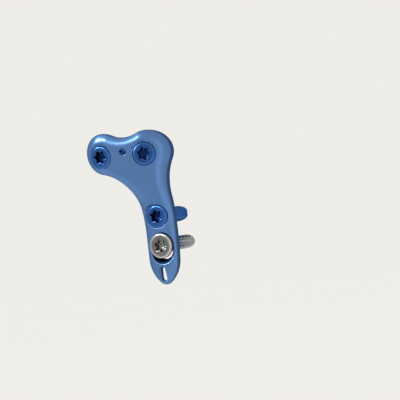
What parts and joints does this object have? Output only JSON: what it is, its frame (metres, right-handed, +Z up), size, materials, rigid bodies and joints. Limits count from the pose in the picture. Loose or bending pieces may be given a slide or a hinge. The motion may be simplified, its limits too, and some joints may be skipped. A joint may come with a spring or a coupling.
{
  "type": "orthopedic bone plate",
  "caption": "Low curved bone plate with a two-lobed head and a narrow shaft, held by locking screws in tapered holes and a cortex screw in a compression slot.",
  "frame": {"origin": "on the shaft locking screw's axis, at the bone's surface: the plate's bone side lies within 0.2 mm of it there", "axes": "+Z up along the plate's shaft to its head, -Y out of the plate, +Y into the bone along the shaft screw, +X towards the head's anterior lobe"},
  "size_m": [0.0278, 0.0282, 0.0495],
  "materials": {
    "anodised_plate": "satin blue anodised titanium, fine blasted",
    "anodised_screw": "deep blue anodised titanium, turned",
    "bare_screw": "bare electropolished metal, turned"
  },
  "bodies": {
    "root": {"bone_plate": "anodised_plate", "posterior_locking_screw": "anodised_screw", "anterior_locking_screw": "anodised_screw", "shaft_locking_screw": "anodised_screw", "cortex_screw": "bare_screw"}
  },
  "joints": []
}
